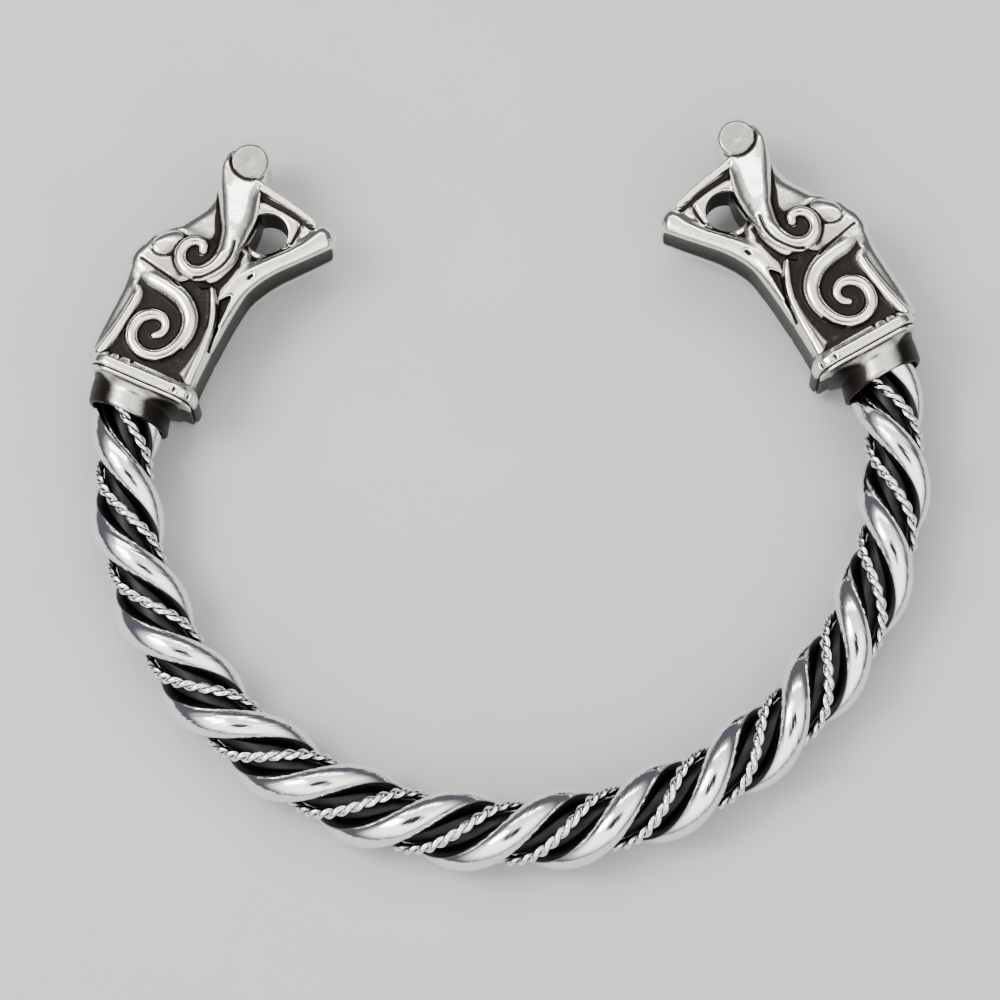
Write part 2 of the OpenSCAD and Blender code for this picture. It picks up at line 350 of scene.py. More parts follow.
def lay(points):
    """Tilts the ring as it rests and turns millimetres into metres."""
    c = math.cos(REST_TILT)
    s = math.sin(REST_TILT)
    x, y, z = np.moveaxis(points, -1, 0)
    return np.stack([x, y * c - z * s, y * s + z * c], axis=-1) * MM


print(f"turns of the twist from head to head: {(END_AT - START_AT) / TURN_DEG:.1f}")

# %% [markdown]
# A mesh is made from an array of points and an array of faces. Two things are kept for each
# point. The first is 0 on a crest that the polishing wheel reaches, and 1 down in a corner
# where the black finish stays; on the flanks of rods and wires, the flat cheeks, the nose's
# face and the cup's sides it also holds painted shade. `grain` is the place that the noise
# of the material reads: on a rod it is squeezed along the rod, so that the noise becomes
# long polishing marks.

# %% Make a piece from points and faces
def piece(name, points, faces, finish_and_shade, grain, material, node):
    """A smooth mesh that rides on the ring and stands for one CAD node."""
    mesh = bpy.data.meshes.new(name)
    mesh.from_pydata(points.reshape(-1, 3).tolist(), [], faces)
    mesh.shade_smooth()
    # This attribute holds the black finish in hollows and, on some flanks and flats, painted shade.
    depth = mesh.attributes.new("finish_and_shade", "FLOAT", "POINT")
    depth.data.foreach_set("value", finish_and_shade.astype(np.float32).ravel())
    marks = mesh.attributes.new("grain", "FLOAT_VECTOR", "POINT")
    marks.data.foreach_set("vector", grain.astype(np.float32).ravel())
    mesh.materials.append(material)
    made = bpy.data.objects.new(name, mesh)
    scene.collection.objects.link(made)
    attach(made, "root")
    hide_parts(node)
    print(f"{name}: {len(mesh.vertices)} points")


def bar_faces(stations, sides, first=0):
    """Faces of a swept bar: those along its side, then a lid at each end."""
    i, j = np.meshgrid(np.arange(stations - 1), np.arange(sides), indexing="ij")
    k = (j + 1) % sides
    quads = np.stack([i * sides + j, i * sides + k, (i + 1) * sides + k, (i + 1) * sides + j], axis=-1)
    start_lid = list(range(first, first + sides))[::-1]
    end_lid = list(range(first + (stations - 1) * sides, first + stations * sides))
    return (quads.reshape(-1, 4) + first).tolist() + [start_lid, end_lid]


print("a bar of 3 stations and 4 sides has", len(bar_faces(3, 4)), "faces")

# %% [markdown]
# ## Polished steel with a black finish and painted shade
# Rings like this are blackened in a bath and then polished, so only the crests turn
# bright again. One function makes every metal here. Its dark colour is that black finish,
# and on some flanks and flats it is also painted shade. Slow clouds and fine specks of
# noise break up the edge of the dark colour, change the gloss a little and raise faint
# waves, because a mirror without a fault looks drawn.

# %% Polished steel
STEEL = (0.84, 0.835, 0.83)
WARM_STEEL = (0.82, 0.805, 0.745)
# The two dark colours are the black finish left in hollows, and also painted shade on some flanks and
# flats.
BLACK_FINISH_AND_SHADE = (0.022, 0.020, 0.022)
BROWN_FINISH_AND_SHADE = (0.016, 0.0135, 0.012)
CLOUD_SCALE = 0.8
SPECK_SCALE = 5.0
CLOUD_EDGE = 0.16
SPECK_EDGE = 0.24
FINISH_ROUGH = 0.28
SPECK_ROUGH = 0.10
SPECK_WAVES = 0.15
BUMP_REACH = 0.1 * MM


def polished(name, steel, finish_and_shade_colour, smooth_rough, waves, start_dark, full_dark):
    """Steel that is bright on crests, dark with black finish in hollows and with painted shade on some
    flanks and flats, and with fine wear.
    """
    material, place, shader = start(name)
    finish_and_shade = place.make("ShaderNodeAttribute", {"attribute_name": "finish_and_shade"}, {}, out="Fac")
    grain = place.make("ShaderNodeAttribute", {"attribute_name": "grain"}, {}, out="Vector")
    cloud = grain.noise(CLOUD_SCALE, 3)
    speck = grain.noise(SPECK_SCALE, 4)
    ragged = finish_and_shade + (cloud - 0.5) * CLOUD_EDGE + (speck - 0.5) * SPECK_EDGE
    # How much of the dark colour shows: black finish in hollows, and painted shade where the masks put it.
    finish_and_shade_share = ragged.ease(start_dark, full_dark)
    feed(shader, "Base Color", finish_and_shade_share.tint(steel, finish_and_shade_colour))
    feed(shader, "Roughness", finish_and_shade_share * FINISH_ROUGH + smooth_rough + (speck - 0.5) * SPECK_ROUGH)
    shader.inputs["Metallic"].default_value = 1.0
    height = cloud * waves + speck * (waves * SPECK_WAVES)
    bump = place.make("ShaderNodeBump", {}, {"Strength": 1.0, "Distance": BUMP_REACH, "Height": height})
    feed(shader, "Normal", bump)
    print(f"{name}: roughness {smooth_rough} where it is bright")
    return material


# %% [markdown]
# ## Two thick rods
# Each thick rod is a round bar wound round the core. A flat cut across the ring shows it
# as an oval, because it crosses the cut at a slant. Placing that oval at many angles t,
# each turned a little further, sweeps the rod. The CAD model is swept the same way, so the
# two agree closely. The black finish stays down where the steel turns in towards the core,
# and painted shade darkens the rod's flanks above it, so how dark a point may be follows
# from its distance to the middle of the body.

# %% Sweep the two rods
rod_steel = polished("polished rod steel", STEEL, BLACK_FINISH_AND_SHADE,
                     smooth_rough=0.09, waves=0.8, start_dark=0.35, full_dark=0.75)
ROD_STATIONS = 560
ROD_SIDES = 32
ROD_SLANT = math.cos(math.atan(2 * math.pi * WIND_R / TURN_L))
DARK_BELOW = 2.60
BRIGHT_ABOVE = 3.25
STREAK = 0.07


def set_on(flat, t, turn):
    """A flat outline set on the body at angles t, with each point's distance from its middle."""
    angle = (phase_at(t) + math.radians(turn))[:, None]
    share = share_at(t)[:, None]
    x = share * (flat[:, 0] * np.cos(angle) - flat[:, 1] * np.sin(angle))
    y = share * (flat[:, 0] * np.sin(angle) + flat[:, 1] * np.cos(angle))
    points = middle_at(t)[:, None] + x[..., None] * outward_at(t)[:, None]
    points[..., 2] += y
    reach = np.hypot(x, y) / share
    return points, reach


def streaks(flat, t):
    """The grain of a swept bar: its flat outline, and a small share of the way along it."""
    grain = np.zeros((len(t), len(flat), 3))
    grain[:, :, :2] = flat
    grain[:, :, 2] = STREAK * (t / ARM_DEG)[:, None]
    return grain


round_way = np.linspace(0, 2 * math.pi, ROD_SIDES, endpoint=False)[::-1]
rod_outline = np.stack([WIND_R + ROD_R * np.cos(round_way), ROD_R / ROD_SLANT * np.sin(round_way)], axis=1)
rod_t = np.linspace(START_AT, END_AT, ROD_STATIONS)
for letter, turn in (("a", 0), ("b", 180)):
    points, reach = set_on(rod_outline, rod_t, turn)
    # Black finish deep by the core, and painted shade up the flanks of the rod.
    finish_and_shade = np.clip((BRIGHT_ABOVE - reach) / (BRIGHT_ABOVE - DARK_BELOW), 0, 1)
    piece("polished_rod_" + letter, lay(points), bar_faces(ROD_STATIONS, ROD_SIDES), finish_and_shade,
          streaks(rod_outline, rod_t + turn), rod_steel, "thick_rod_" + letter)

# %% [markdown]
# ## The blackened core
# Between the rods the core shows as two flat dark bands with a wire along each. Its
# outline has a groove for each rod, so the rods sit in it and don't run through it. The
# polishing wheel doesn't reach it, so its share of black finish is one half all over.

# %% Black steel, and the core with its two grooves
GROOVE_POINTS = 15
FREE_POINTS = 9
CORE_RECESS = 0.5
core_black = polished("blackened core steel", STEEL, BLACK_FINISH_AND_SHADE,
                      smooth_rough=0.20, waves=0.9, start_dark=-0.6, full_dark=0.5)


def groove_outline():
    """Half of the core's outline: one groove, then one free stretch."""
    ax = ROD_R + SEAT_GAP
    ay = ROD_R / ROD_SLANT + SEAT_GAP
    square = ax * ax - ay * ay
    linear = 2 * WIND_R * ax
    rest = WIND_R ** 2 + ay * ay - CORE_R ** 2
    edge = math.acos((linear - math.sqrt(linear ** 2 - 4 * square * rest)) / (2 * square))
    g = np.linspace(-edge, edge, GROOVE_POINTS)
    cut = np.stack([WIND_R - ax * np.cos(g), ay * np.sin(g)], axis=1)
    begin = math.atan2(cut[-1, 1], cut[-1, 0])
    f = np.linspace(begin, math.pi - begin, FREE_POINTS + 2)[1:-1]
    return np.concatenate([cut, CORE_R * np.stack([np.cos(f), np.sin(f)], axis=1)])


half = groove_outline()
core_outline = np.concatenate([half, -half])[::-1]
points, reach = set_on(core_outline, rod_t, 0)
finish_and_shade = np.full_like(reach, CORE_RECESS)
piece("blackened_core", lay(points), bar_faces(ROD_STATIONS, len(core_outline)), finish_and_shade,
      streaks(core_outline, rod_t), core_black, "core")

# %% [markdown]
# ## Two fine wires
# Each fine wire is a pair of thin strands twisted together, left-handed like the rods.
# Seen on the ring it reads as a row of small slanted beads. Both strands are real swept
# bars, for a bump map would vanish at the edge of the ring. The black finish stays where
# the two strands touch and at the foot of the wire, next to the core, and painted shade
# darkens the inner side of each strand.

# %% Twist and lay the fine wires
STRAND_R = 0.29
STRAND_OFF = 0.265
STRAND_TURN = 2.9
STRAND_STATIONS = 1000
STRAND_SIDES = 12
WIRE_REACH = CORE_R + SEAT_GAP + WIRE_R
TOUCH_DARK = 0.15
TOUCH_FADE = 0.25
FOOT_DARK = 2.25
FOOT_FADE = 0.45


def unit(v):
    """Directions of length 1."""
    return v / np.linalg.norm(v, axis=-1, keepdims=True)


def strand(t, turn, half_turn):
    """One strand: the points round it and, for each, its share of black finish and painted shade."""
    angle = phase_at(t) + math.radians(turn)
    share = share_at(t)[:, None]
    away = np.cos(angle)[:, None] * outward_at(t)
    away[:, 2] += np.sin(angle)
    wire = middle_at(t) + WIRE_REACH * share * away
    step = np.linalg.norm(np.diff(wire, axis=0), axis=1)
    length = np.concatenate([[0], np.cumsum(step)])
    ahead = unit(np.gradient(wire, axis=0))
    first = unit(away - np.sum(away * ahead, axis=1, keepdims=True) * ahead)
    second = np.cross(ahead, first)
    twist = (half_turn * math.pi - 2 * math.pi * length / STRAND_TURN)[:, None]
    line = wire + STRAND_OFF * share * (np.cos(twist) * first + np.sin(twist) * second)
    ahead = unit(np.gradient(line, axis=0))
    first = unit(first - np.sum(first * ahead, axis=1, keepdims=True) * ahead)
    second = np.cross(ahead, first)
    g = np.linspace(0, 2 * math.pi, STRAND_SIDES, endpoint=False)[None, :, None]
    radius = STRAND_R * share[:, None]
    points = line[:, None] + radius * (np.cos(g) * first[:, None] + np.sin(g) * second[:, None])
    inward = np.linalg.norm(points - wire[:, None], axis=-1)
    high = np.sum((points - middle_at(t)[:, None]) * away[:, None], axis=-1)
    # Black finish where the strands touch and at the wire's foot, and painted shade over each strand's
    # inner side.
    touching = 1 - (inward - TOUCH_DARK) / TOUCH_FADE
    at_foot = 1 - (high / share - FOOT_DARK) / FOOT_FADE
    return points, np.clip(np.maximum(touching, at_foot), 0, 1)


wire_steel = polished("bright wire steel", STEEL, BLACK_FINISH_AND_SHADE,
                      smooth_rough=0.10, waves=0.2, start_dark=0.30, full_dark=0.75)
wire_t = np.linspace(START_AT, END_AT, STRAND_STATIONS)
for letter, turn in (("a", 90), ("b", 270)):
    pair = [strand(wire_t, turn, half_turn) for half_turn in (0, 1)]
    bare = np.concatenate([points.reshape(-1, 3) for points, dark in pair])
    finish_and_shade = np.concatenate([dark.ravel() for points, dark in pair])
    count = STRAND_STATIONS * STRAND_SIDES
    faces = bar_faces(STRAND_STATIONS, STRAND_SIDES) + bar_faces(STRAND_STATIONS, STRAND_SIDES, count)
    piece("twisted_wire_" + letter, lay(bare), faces, finish_and_shade, bare, wire_steel,
          "fine_wire_" + letter)

# %% [markdown]
# ## The heads
# A head is flat-cheeked, with a raised scroll on its neck, a lip that rolls up from a
# curl to a round nose, a jaw, and a thin web with a round hole between them. In wax its
# maker would have laid rolls on a block and smoothed the joints with a hot tool. A field
# of distances does just that: at each point of a fine grid it holds how far the surface
# is, rolls are laid on by taking the nearer of two fields, and a soft join melts the
# crease between them.
# The tables trace the head in its own frame: along it from the collar, out towards its
# back, and high towards the cheek. The skull has along, back, front and high, the jaw has
# along, out, half thickness and half width, and the web's edge ends with its radius and
# the width of the groove inside it. The first three columns are shares of the head's
# length, and the fourth is a share of half its thickness.

# %% Rows of the skull, the jaw and the web
SKULL = [
    [-0.02, 0.262, -0.190, 0.90],
    [0.07, 0.269, -0.192, 0.85],
    [0.19, 0.267, -0.195, 0.83],
    [0.30, 0.263, -0.200, 0.83],
    [0.37, 0.271, -0.203, 0.84],
    [0.40, 0.276, -0.205, 0.90],
    [0.43, 0.282, -0.206, 0.91],
    [0.48, 0.275, -0.200, 0.90],
    [0.55, 0.238, -0.185, 0.87],
    [0.61, 0.192, -0.185, 0.79],
    [0.645, 0.168, -0.165, 0.73],
    [0.68, 0.146, -0.100, 0.68],
    [0.76, 0.106, -0.090, 0.57],
    [0.83, 0.094, -0.080, 0.46],
    [0.90, 0.078, -0.060, 0.36]]
JAW = [
    [-0.010, -0.158, 0.040, 0.80],
    [0.100, -0.152, 0.041, 0.78],
    [0.220, -0.154, 0.043, 0.76],
    [0.360, -0.160, 0.047, 0.74],
    [0.480, -0.174, 0.055, 0.76],
    [0.560, -0.206, 0.054, 0.75],
    [0.635, -0.262, 0.046, 0.72],
    [0.700, -0.318, 0.044, 0.69],
    [0.765, -0.366, 0.050, 0.66],
    [0.828, -0.402, 0.063, 0.63]]
WEB = [
    [0.520, -0.060], [0.560, -0.190], [0.700, -0.318], [0.800, -0.380], [0.866, -0.395],
    [0.872, -0.345], [0.902, -0.231], [0.921, -0.114], [0.940, 0.000]]
WEB_EDGE = [
    [0.872, -0.350, 0.012, 0.05],
    [0.902, -0.231, 0.015, 0.06],
    [0.921, -0.114, 0.018, 0.08],
    [0.945, -0.020, 0.022, 0.11]]
MOUTH = (0.750, -0.190)
print("rows of skull, jaw and web:", len(SKULL), len(JAW), len(WEB))

# %% [markdown]
# A roll is traced by rows of along, out, radius and high. The lip runs from the nose down
# to the middle of its curl, the band from the crown to the middle of its spiral, and a
# ridge lies along the back and along the front of the neck. The eye is a low dome.

# %% Rows of the rolls, and the eye
LIP = [
    [1.032, 0.012, 0.068, 0.14],
    [0.985, 0.012, 0.092, 0.14],
    [0.910, -0.006, 0.098, 0.16],
    [0.830, -0.040, 0.091, 0.27],
    [0.760, -0.064, 0.082, 0.38],
    [0.700, -0.078, 0.066, 0.53],
    [0.640, -0.084, 0.054, 0.67],
    [0.585, -0.086, 0.046, 0.78],
    [0.530, -0.073, 0.041, 0.82],
    [0.487, -0.046, 0.038, 0.84],
    [0.464, -0.008, 0.035, 0.86],
    [0.463, 0.032, 0.031, 0.88],
    [0.486, 0.068, 0.027, 0.90],
    [0.524, 0.085, 0.025, 0.91],
    [0.563, 0.076, 0.023, 0.92],
    [0.588, 0.047, 0.021, 0.92],
    [0.587, 0.015, 0.020, 0.92],
    [0.562, 0.003, 0.018, 0.92]]
BAND = [
    [0.400, 0.215, 0.042, 0.62],
    [0.380, 0.150, 0.044, 0.73],
    [0.366, 0.070, 0.042, 0.81],
    [0.343, -0.004, 0.040, 0.84],
    [0.295, -0.060, 0.038, 0.84],
    [0.237, -0.081, 0.035, 0.84],
    [0.178, -0.076, 0.032, 0.84],
    [0.118, -0.049, 0.029, 0.84],
    [0.080, -0.002, 0.027, 0.84],
    [0.072, 0.056, 0.027, 0.84],
    [0.098, 0.106, 0.027, 0.84],
    [0.148, 0.129, 0.028, 0.84],
    [0.201, 0.120, 0.027, 0.84],
    [0.235, 0.084, 0.025, 0.85],
    [0.240, 0.040, 0.022, 0.86],
    [0.214, 0.010, 0.019, 0.86],
    [0.178, 0.012, 0.017, 0.86],
    [0.157, 0.036, 0.014, 0.86]]
BACK_RIDGE = [
    [0.330, 0.200, 0.020, 0.74],
    [0.290, 0.172, 0.022, 0.80],
    [0.200, 0.176, 0.022, 0.84],
    [0.100, 0.190, 0.022, 0.86],
    [0.000, 0.210, 0.022, 0.88]]
FRONT_RIDGE = [
    [0.428, -0.100, 0.014, 0.80],
    [0.385, -0.122, 0.015, 0.80],
    [0.335, -0.144, 0.016, 0.80],
    [0.270, -0.161, 0.016, 0.80],
    [0.180, -0.168, 0.018, 0.80],
    [0.090, -0.168, 0.022, 0.80],
    [0.000, -0.172, 0.028, 0.80]]
EYE = (0.543, 0.150)
EYE_SIZE = (0.070, 0.050)
EYE_TURN = -40
print("rows of lip and band:", len(LIP), len(BAND))

# %% [markdown]
# Three places on the cheek lie lower than the rest, each inside a flat outline: the dark
# channel between the band and the lip, the shoulder along the jaw, and a small pit where
# the jaw leaves the neck. Their heights are in millimetres from the middle of the head.

# %% Outlines of the low places
CHANNEL = [
    [0.270, -0.020], [0.345, 0.030], [0.388, 0.048], [0.440, -0.010], [0.452, -0.060],
    [0.426, -0.094], [0.385, -0.118], [0.335, -0.140], [0.270, -0.158]]
SHOULDER = [
    [0.150, -0.300], [0.150, -0.175], [0.270, -0.163], [0.335, -0.147], [0.385, -0.125],
    [0.424, -0.100], [0.446, -0.086], [0.477, -0.110], [0.504, -0.124], [0.550, -0.139],
    [0.610, -0.142], [0.700, -0.142], [0.700, -0.400]]
PIT = [
    [0.405, -0.142], [0.425, -0.158], [0.443, -0.176], [0.420, -0.182], [0.365, -0.180],
    [0.270, -0.180], [0.320, -0.168], [0.365, -0.156]]
CHANNEL_FLOOR = 3.62
SHOULDER_TOP = 3.34
PIT_FLOOR = 2.75
print("low places at", CHANNEL_FLOOR, SHOULDER_TOP, PIT_FLOOR, "mm")

# %% [markdown]
# ## The grid, and distances on it
# The grid covers one half of the head, from its middle to one cheek, because the other
# cheek mirrors it. Every traced line is flat, so its distances are worked out once on the
# flat grid, and joined with the height afterwards.

# %% The grid of the field
CELL = 0.14
BEHIND_COLLAR = 5.6
PAST_NOSE = 0.6
FRONT_REACH = 11.2
BACK_REACH = 7.6
CHEEK_REACH = 5.8
grid_x = np.arange(-BEHIND_COLLAR, HEAD_L + NOSE_R + PAST_NOSE, CELL)
grid_y = np.arange(-FRONT_REACH, BACK_REACH, CELL)
grid_z = (np.arange(round(CHEEK_REACH / CELL)) + 0.5) * CELL
X, Y = np.meshgrid(grid_x, grid_y, indexing="ij")
Z = grid_z[None, None, :]
print("grid of", X.shape[0], "x", X.shape[1], "x", len(grid_z), "cells of", CELL, "mm")

# %% A smooth line through rows
ROUNDING = 8


def trace(rows):
    """A smooth line through rows. Columns 0 to 2 are shares of the head's length."""
    rows = np.array(rows, float)
    rows[:, :3] *= HEAD_L
    rows[:, 3:] *= HEAD_T / 2
    padded = np.concatenate([2 * rows[:1] - rows[1:2], rows, 2 * rows[-1:] - rows[-2:-1]])
    u = (np.arange(ROUNDING) / ROUNDING)[:, None]
    fine = []
    for a, b, c, d in zip(padded[:-3], padded[1:-2], padded[2:-1], padded[3:]):
        fine.append(0.5 * (2 * b + (c - a) * u + (2 * a - 5 * b + 4 * c - d) * u ** 2
                           + (3 * b - a - 3 * c + d) * u ** 3))
    return np.concatenate(fine + [rows[-1:]])


print("places along the lip:", len(trace(LIP)))

# %% Distances to a traced line
def nearest(path):
    """For each place of the flat grid: its distance from the path, its distance left of the
    path, how far it lies past an end, and the path's other columns at the nearest point."""
    best = np.full(X.shape, np.inf)
    left = np.zeros(X.shape)
    past = np.zeros(X.shape)
    extra = np.zeros((path.shape[1] - 2, *X.shape))
    for a, b in zip(path[:-1], path[1:]):
        step = b[:2] - a[:2]
        size = math.hypot(*step)
        from_x = X - a[0]
        from_y = Y - a[1]
        along = (from_x * step[0] + from_y * step[1]) / size ** 2
        part = np.clip(along, 0, 1)
        away = np.hypot(from_x - part * step[0], from_y - part * step[1])
        closer = away < best
        best[closer] = away[closer]
        left[closer] = ((step[0] * from_y - step[1] * from_x) / size)[closer]
        past[closer] = ((along - part) * size)[closer]
        for k in range(len(extra)):
            extra[k][closer] = (a[k + 2] + part * (b[k + 2] - a[k + 2]))[closer]
    return best, left, past, extra


print(f"farthest from the web's edge: {nearest(trace(WEB_EDGE))[0].max():.1f} mm")

# %% Ways to join and cut fields
def melt(a, b, soft):
    """The nearer of two fields, with the crease between them filled softly."""
    mix = np.clip(0.5 + 0.5 * (b - a) / soft, 0, 1)
    return b * (1 - mix) + a * mix - soft * mix * (1 - mix)


def carve(solid, tool, soft):
    """The solid without the tool, with a soft edge."""
    return -melt(-solid, tool, soft)


def block(across, half_across, high, half_high, corner):
    """A bar with rounded corners, from two distances off its middle."""
    u = np.abs(across) - half_across + corner
    v = np.abs(high) - half_high + corner
    return np.hypot(np.maximum(u, 0), np.maximum(v, 0)) + np.minimum(np.maximum(u, v), 0) - corner


def ease(value, low, high):
    """0 below low, 1 above high, smooth between them."""
    u = np.clip((value - low) / (high - low), 0, 1)
    return u * u * (3 - 2 * u)


print("two surfaces that touch are raised by", -melt(0.0, 0.0, 1.0), "of the melt's reach")

# %% Outlines, rolls and fine lines
CHEEK_FROM = (1.6, 2.4)
ON_CHEEK = ease(Z, *CHEEK_FROM)
TINY = 1e-9


def outlined(corners):
    """A flat field, negative inside a closed outline."""
    line = np.array(corners + corners[:1]) * HEAD_L
    inside = np.zeros(X.shape, bool)
    for a, b in zip(line[:-1], line[1:]):
        crosses = (a[1] > Y) != (b[1] > Y)
        inside ^= crosses & (X < (b[0] - a[0]) * (Y - a[1]) / (b[1] - a[1] + TINY) + a[0])
    away = nearest(line)[0]
    return np.where(inside, -away, away)


def roll(rows):
    """A round roll laid on the cheek along rows of [along, out, radius, high]."""
    away, _, _, (radius, high) = nearest(trace(rows))
    return np.hypot(away[..., None], Z - high[..., None]) - radius[..., None]


def scratch(solid, away, width, depth):
    """A fine line cut into the cheek, at a flat distance from its path."""
    line = depth * np.exp(-(away / width) ** 2)
    return solid + line[..., None] * ON_CHEEK


def count_inside(solid):
    """How many cells of the grid are metal."""
    return int((solid < 0).sum())


print("cells of a bare band:", count_inside(roll(BAND)))

# %% [markdown]
# ## The block of the head
# The skull is a bar with a round back whose outline changes along the way. The cheek is
# pressed down to the shoulder's height beside the jaw.

# %% Skull
BACK_ROUND = 1.7
FRONT_ROUND = 1.0
MOST_ROUND = 0.85
CHEEK_ROUND = 0.9
SHOULDER_EDGE = (-0.1, 0.5)
SHOULDER_FADE = (0.16, 0.30)
SKULL_START = -0.3
SKULL_END = 0.90
rows = trace(SKULL)
lines = [np.interp(grid_x, rows[:, 0], rows[:, k])[:, None, None] for k in (1, 2, 3)]
back_line, front_line, cheek_line = lines
half_wide = (back_line - front_line) / 2
off_middle = Y[..., None] - (back_line + front_line) / 2
corner = np.where(off_middle > 0, np.minimum(BACK_ROUND, MOST_ROUND * half_wide), FRONT_ROUND)
shoulder = ease(-outlined(SHOULDER), *SHOULDER_EDGE) * ease(X / HEAD_L, *SHOULDER_FADE)
cheek = cheek_line - (cheek_line - SHOULDER_TOP) * shoulder[..., None]
skull = block(off_middle, half_wide, Z, cheek, np.minimum(corner, CHEEK_ROUND * cheek_line))
skull = np.maximum(skull, (X - SKULL_END * HEAD_L)[..., None])
skull = np.maximum(skull, (SKULL_START - X)[..., None])
print("skull:", count_inside(skull), "cells inside")

# %% [markdown]
# The jaw is a rounded bar. Its cheek side is crowned a little, so that it catches the
# light in one long streak, and its underside is hollowed. The channel and the pit are cut
# once the jaw has melted into the skull.

# %% Jaw, channel and pit
JAW_CROWN = 0.35
CROWN_MIDDLE = 0.35
CROWN_EDGE = 1.2
UNDERSIDE = (-0.6, 0.4)
PAST_TIP = (0.0, 0.5)
HOLLOW_DEEP = 0.35
HOLLOW_WIDE = 0.86
JAW_ROUND = 0.95
UNDERSIDE_SHARPER = 0.5
JAW_MELT = 0.7
CUT_SOFT = 0.15
away, left, past, (thick, wide) = nearest(trace(JAW))
below = (1 - ease(left / thick, *UNDERSIDE)) * (1 - ease(past, *PAST_TIP))
hollow = HOLLOW_DEEP * np.clip(1 - (Z / (HOLLOW_WIDE * wide[..., None])) ** 2, 0, 1) * below[..., None]
corner = (thick * (JAW_ROUND - UNDERSIDE_SHARPER * below))[..., None]
crowned = wide + JAW_CROWN * (CROWN_MIDDLE - np.minimum(away / thick, CROWN_EDGE) ** 2)
jaw = block(away[..., None], thick[..., None] - hollow, Z, crowned[..., None], corner)
head = melt(skull, jaw, JAW_MELT)
channel_plan = outlined(CHANNEL)
pit_plan = outlined(PIT)
for plan, floor_high in ((channel_plan, CHANNEL_FLOOR), (pit_plan, PIT_FLOOR)):
    head = carve(head, np.maximum(plan[..., None], floor_high - Z), CUT_SOFT)
print("skull and jaw:", count_inside(head), "cells inside")

# %% [markdown]
# The web is cut from a plate and has its round hole. A thin bar runs along its free edge,
# with a groove inside it.

# %% Web with its hole and its raised edge
PLATE_REACH = 5
WEB_ROUND = 0.25
GROOVE_DEEP = 0.60
GROOVE_OFF = 1.3
HOLE_ROUND = 0.3
WEB_MELT = 0.35
RIM_SUNK = 0.1
RIM_MELT = 0.12
plate = outlined(WEB)[..., None]
web = block(plate + PLATE_REACH, PLATE_REACH, Z, WEB_T / 2, WEB_ROUND)
edge_away, _, _, (edge_r, groove) = nearest(trace(WEB_EDGE))
groove_place = (edge_away - edge_r - GROOVE_OFF * groove) / groove
web = web + GROOVE_DEEP * np.exp(-groove_place ** 2)[..., None] * ON_CHEEK
to_hole = np.hypot(X - MOUTH[0] * HEAD_L, Y - MOUTH[1] * HEAD_L)[..., None]
web = carve(web, to_hole - MOUTH_R, HOLE_ROUND)
head = melt(head, web, WEB_MELT)
rim = np.hypot(edge_away[..., None], Z - WEB_T / 2 + RIM_SUNK) - edge_r[..., None]
head = melt(head, rim, RIM_MELT)
print("block of the head:", count_inside(head), "cells inside")

# %% [markdown]
# ## What is laid on the block
# The ridges melt in softly and the band stays crisp. The eye is a low dome with a fine
# line round it.

# %% Ridges, band and eye
ROLLS = ((BACK_RIDGE, 0.30), (FRONT_RIDGE, 0.20), (BAND, 0.14))
EYE_RISE = 0.16
EYE_LINE_AT = 1.06
EYE_MEAN_R = 1.3
EYE_LINE_WIDE = 0.12
EYE_LINE_DEEP = 0.15
for rows, soft in ROLLS:
    head = melt(head, roll(rows), soft)
turn = math.radians(EYE_TURN)
off_x = X - EYE[0] * HEAD_L
off_y = Y - EYE[1] * HEAD_L
eye_u = (off_x * math.cos(turn) + off_y * math.sin(turn)) / (EYE_SIZE[0] * HEAD_L)
eye_v = (off_y * math.cos(turn) - off_x * math.sin(turn)) / (EYE_SIZE[1] * HEAD_L)
eye_share = np.hypot(eye_u, eye_v)
head = head - (EYE_RISE * np.clip(1 - eye_share ** 2, 0, 1))[..., None] * ON_CHEEK
head = scratch(head, (eye_share - EYE_LINE_AT) * EYE_MEAN_R, EYE_LINE_WIDE, EYE_LINE_DEEP)
print("with ridges, band and eye:", count_inside(head), "cells inside")

# %% [markdown]
# The lip is laid after the rest, so its crease stays crisp. Its curl is a plain roll. Its
# thick part is a bar with round edges whose crest leans over. The nose is a short roller
# at the lip's end. Its face is cut clear of the lip, and has a shallow dimple.

# %% Lip and nose
LIP_ROUND = 1.6
LIP_SHARPER = 0.7
SHARPER_FROM = (0.86, 0.96)
THICK_FROM = (0.045, 0.075)
LIP_LEAN = 0.20
LIP_RAISE = 0.20
LIP_MELT = 0.12
NOSE_ROUND = 0.30
NOSE_MELT = 0.10
DISC_R = 1.78
DISC_SOFT = 0.06
DIMPLE_R = 1.16
DIMPLE_UP = 1.1
DIMPLE_SOFT = 0.1
lip_away, lip_left, _, (lip_radius, lip_high) = nearest(trace(LIP))
thick_part = ease(lip_radius / HEAD_L, *THICK_FROM)
crest = lip_high + lip_radius + thick_part * (LIP_RAISE - LIP_LEAN * lip_left)
round_edge = np.minimum(lip_radius, LIP_ROUND - LIP_SHARPER * ease(X / HEAD_L, *SHARPER_FROM))
lip = block(lip_away[..., None], lip_radius[..., None], Z, crest[..., None], round_edge[..., None])
head = melt(head, lip, LIP_MELT)
nose_away = np.hypot(X - HEAD_L, Y)
to_nose = nose_away[..., None]
head = melt(head, block(to_nose, NOSE_R, Z, NOSE_W / 2, NOSE_ROUND), NOSE_MELT)
head = carve(head, np.maximum(to_nose - DISC_R, NOSE_W / 2 - Z), DISC_SOFT)
dimple = np.sqrt(to_nose ** 2 + (Z - NOSE_W / 2 - DIMPLE_UP) ** 2) - DIMPLE_R
head = carve(head, dimple, DIMPLE_SOFT)
print("with lip and nose:", count_inside(head), "cells inside")

# %% [markdown]
# Fine lines are cut beside the rolls, as a graver would, and the black finish stays in
# them. Each line has its places, its width and its depth in millimetres. `ink` holds how
# dark the finish lies at each place of the flat grid.

